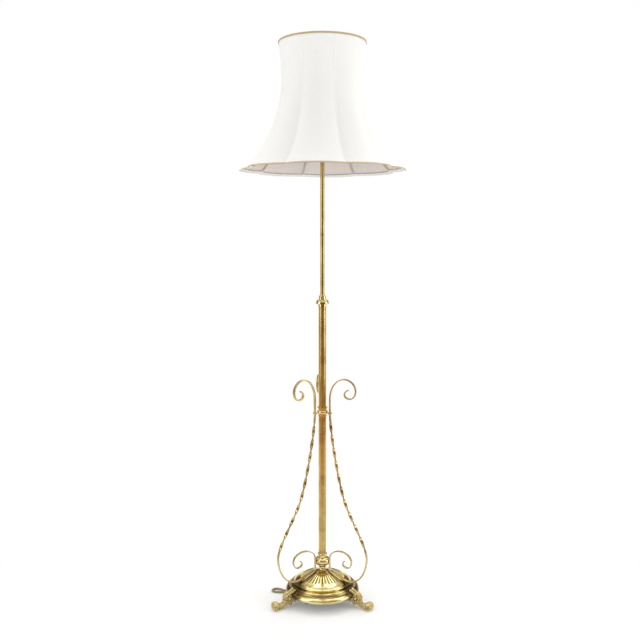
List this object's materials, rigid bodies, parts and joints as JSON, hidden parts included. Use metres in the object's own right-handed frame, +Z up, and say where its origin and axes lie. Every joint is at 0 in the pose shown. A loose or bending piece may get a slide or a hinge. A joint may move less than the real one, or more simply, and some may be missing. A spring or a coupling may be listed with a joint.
{
  "type": "floor lamp",
  "caption": "Height-adjustable brass floor lamp with a fluted weighted base, cast scroll feet, twisted scroll supports, a telescopic column and a bowed-panel fabric shade.",
  "frame": {"origin": "on the floor at the centre of the base", "axes": "+Z up along the column; the picture looks along +Y, with +X to its right"},
  "size_m": [0.5006, 0.5006, 1.6689],
  "materials": {
    "brass": "polished and lacquered",
    "iron": "as cast",
    "steel": "zinc plated",
    "black_plastic": "moulded",
    "nylon": "moulded",
    "cap_metal": "satin",
    "opal_glass": "opal",
    "white_wire": "white coated wire",
    "shade_fabric": "fine weave",
    "lining_fabric": "satin lining",
    "braid": "woven braid",
    "flex": "smooth sheath"
  },
  "bodies": {
    "base": {"base_shell": "brass", "base_weight": "iron", "base_cover": "steel", "centre_rod": "brass", "rod_nut": "steel", "rod_washer": "steel", "flex_bush": "black_plastic", "foot_left": "brass", "foot_right": "brass", "foot_rear": "brass", "foot_screws": "steel", "neck_waist": "brass", "neck_knop": "brass", "neck_ring": "brass", "bracket_left": "brass", "bracket_right": "brass", "bracket_rear": "brass", "ball_screws": "brass", "support_left": "brass", "support_right": "brass", "support_rear": "brass", "tube_plug": "brass", "outer_tube": "brass", "mid_collar": "brass", "strap_clips": "brass", "clamp_collar": "brass", "collet": "brass", "slack_flex": "flex", "flex_run": "flex", "flex_coil": "flex", "flex_tail": "flex", "flex_tie": "black_plastic", "plug_body": "black_plastic", "plug_pins": "brass"},
    "clamp_nut": {"clamp_nut": "brass"},
    "slider": {"pole_bush": "nylon"},
    "pole": {"inner_pole": "brass", "pole_rings": "brass", "pole_nipple": "brass", "shade_carrier": "brass", "carrier_nut": "brass", "holder_cap": "brass", "holder_body": "brass", "holder_insert": "black_plastic", "holder_contacts": "brass", "holder_ring": "brass", "bulb_cap": "cap_metal", "bulb_glass": "opal_glass", "pole_flex": "flex"},
    "switch": {"switch_bar": "brass"},
    "shade": {"shade_top_ring": "white_wire", "shade_bottom_ring": "white_wire", "shade_struts": "white_wire", "shade_fitter": "white_wire", "shade_cover": "shade_fabric", "shade_lining": "lining_fabric", "top_braid": "braid", "bottom_braid": "braid"}
  },
  "joints": [
    {"name": "clamp_nut_turn", "type": "hinge", "parent": "base", "child": "clamp_nut", "pos_m": [0, 0, 0.903], "axis": [0, 0, 1], "range_deg": [0, 270]},
    {"name": "pole_slide", "type": "slide", "parent": "base", "child": "slider", "axis": [0, 0, 1], "range_m": [-0.4, 0.12], "deforming": ["slack_flex"]},
    {"name": "pole_turn", "type": "hinge", "parent": "slider", "child": "pole", "pos_m": [0, 0, 0.7], "axis": [0, 0, 1], "range_deg": [-170, 170]},
    {"name": "switch_push", "type": "slide", "parent": "pole", "child": "switch", "axis": [1, 0, 0], "range_m": [-0.003, 0.003]},
    {"name": "shade_lift", "type": "slide", "parent": "pole", "child": "shade", "axis": [0, 0, 1], "range_m": [0, 0.36]}
  ]
}
